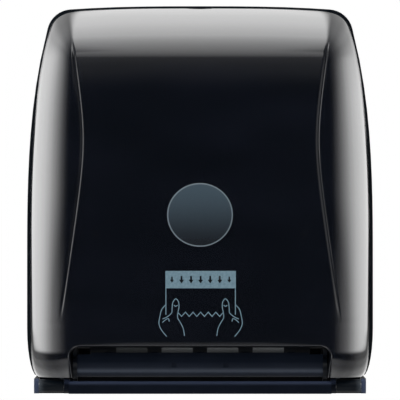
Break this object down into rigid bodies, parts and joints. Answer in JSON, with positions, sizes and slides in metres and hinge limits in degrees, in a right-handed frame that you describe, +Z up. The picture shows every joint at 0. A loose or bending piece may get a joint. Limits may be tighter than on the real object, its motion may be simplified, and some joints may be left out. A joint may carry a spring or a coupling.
{
  "type": "roll towel dispenser",
  "caption": "Wall-mounted hands-free towel dispenser: smoked bulging cover hinged at the foot of a black chassis, with a cutting drum, pinch roller and sprung roll arms.",
  "frame": {"origin": "centre of the four wall-screw holes, on the back face that lies against the wall", "axes": "+X to the right seen from the front, +Y into the wall, +Z up"},
  "size_m": [0.332, 0.221, 0.369],
  "materials": {
    "chassis_black": "moulded black plastic with a fine satin grain",
    "inner_black": "moulded dark plastic of the feed mechanism",
    "smoke": "glossy dark smoke-tinted plastic",
    "grip_rubber": "grey grip rubber",
    "grey_plastic": "grey moulded plastic",
    "gear_white": "natural white bearing plastic",
    "steel": "bright zinc-plated steel",
    "lock_metal": "bright plated lock metal",
    "badge": "domed glossy slate resin, blank"
  },
  "bodies": {
    "chassis": {"back_plate": "chassis_black", "base_tray": "chassis_black", "side_frame_left": "inner_black", "side_frame_right": "inner_black", "delivery_lip": "inner_black", "stripper_comb": "inner_black", "rear_guide": "inner_black", "front_guard": "inner_black", "drum_bush_left": "gear_white", "drum_bush_right": "gear_white", "sun_gear": "gear_white", "spring_cover": "inner_black", "return_spring": "steel", "arm_bracket_left": "chassis_black", "arm_bracket_right": "chassis_black", "arm_pins": "steel", "hinge_pins": "steel", "catch_bracket": "chassis_black", "frame_screws": "steel"},
    "cover": {"front_cover": "smoke", "hinge_bracket_left": "chassis_black", "hinge_bracket_right": "chassis_black", "hinge_screws": "steel", "badge_lens": "badge", "lock_body": "lock_metal", "lock_nut": "lock_metal"},
    "lock": {"lock_plug": "lock_metal", "lock_hook": "steel", "hook_screw": "steel"},
    "drum": {"drum_shell_front": "inner_black", "drum_shell_rear": "inner_black", "drum_end_left": "inner_black", "drum_end_right": "inner_black", "drum_stub_left": "steel", "drum_stub_right": "steel", "grip_band_1": "grip_rubber", "grip_band_2": "grip_rubber", "grip_band_3": "grip_rubber", "grip_band_4": "grip_rubber", "feed_wheel": "grey_plastic", "crank_disc": "gear_white"},
    "knife": {"knife_shaft": "steel", "knife_clamp": "inner_black", "knife_blade": "steel", "planet_gear": "gear_white", "clamp_screws": "steel"},
    "yoke": {"pinch_yoke": "inner_black"},
    "pinch_roller": {"pinch_shaft": "steel", "pinch_tyres": "grip_rubber"},
    "arm_left": {"roll_arm_left": "chassis_black", "hub_axle_left": "steel"},
    "arm_right": {"roll_arm_right": "chassis_black", "hub_axle_right": "steel"},
    "hub_left": {"core_hub_left": "grey_plastic"},
    "hub_right": {"core_hub_right": "grey_plastic"}
  },
  "joints": [
    {"name": "cover_hinge", "type": "hinge", "parent": "chassis", "child": "cover", "pos_m": [0, -0.165, -0.2325], "axis": [1, 0, 0], "range_deg": [0, 95]},
    {"name": "lock_turn", "type": "hinge", "parent": "cover", "child": "lock", "pos_m": [0, -0.07, 0.104], "axis": [0, 0, -1], "range_deg": [0, 90]},
    {"name": "drum_spin", "type": "hinge", "parent": "chassis", "child": "drum", "pos_m": [0, -0.14, -0.172], "axis": [1, 0, 0], "continuous": true, "deforming": ["return_spring"]},
    {"name": "knife_spin", "type": "hinge", "parent": "drum", "child": "knife", "pos_m": [0, -0.16121, -0.14672], "axis": [1, 0, 0], "continuous": true},
    {"name": "yoke_lift", "type": "hinge", "parent": "chassis", "child": "yoke", "pos_m": [0, -0.07, -0.122], "axis": [-1, 0, 0], "range_deg": [0, 8], "stiffness_Nm_per_rad": 2, "springref_deg": -5.73},
    {"name": "pinch_spin", "type": "hinge", "parent": "yoke", "child": "pinch_roller", "pos_m": [0, -0.10372, -0.13573], "axis": [1, 0, 0], "continuous": true},
    {"name": "arm_left_flex", "type": "hinge", "parent": "chassis", "child": "arm_left", "pos_m": [-0.11025, -0.014, 0.012], "axis": [0, 0, -1], "range_deg": [0, 12], "stiffness_Nm_per_rad": 3, "springref_deg": -2.86},
    {"name": "arm_right_flex", "type": "hinge", "parent": "chassis", "child": "arm_right", "pos_m": [0.11025, -0.014, 0.012], "axis": [0, 0, 1], "range_deg": [0, 12], "stiffness_Nm_per_rad": 3, "springref_deg": -2.86},
    {"name": "hub_left_spin", "type": "hinge", "parent": "arm_left", "child": "hub_left", "pos_m": [-0.1, -0.111, 0.012], "axis": [1, 0, 0], "continuous": true},
    {"name": "hub_right_spin", "type": "hinge", "parent": "arm_right", "child": "hub_right", "pos_m": [0.1, -0.111, 0.012], "axis": [1, 0, 0], "continuous": true}
  ],
  "couplings": [
    {"joint": "knife_spin", "follows": "drum_spin", "ratio": 1},
    {"joint": "pinch_spin", "follows": "drum_spin", "ratio": -5}
  ]
}
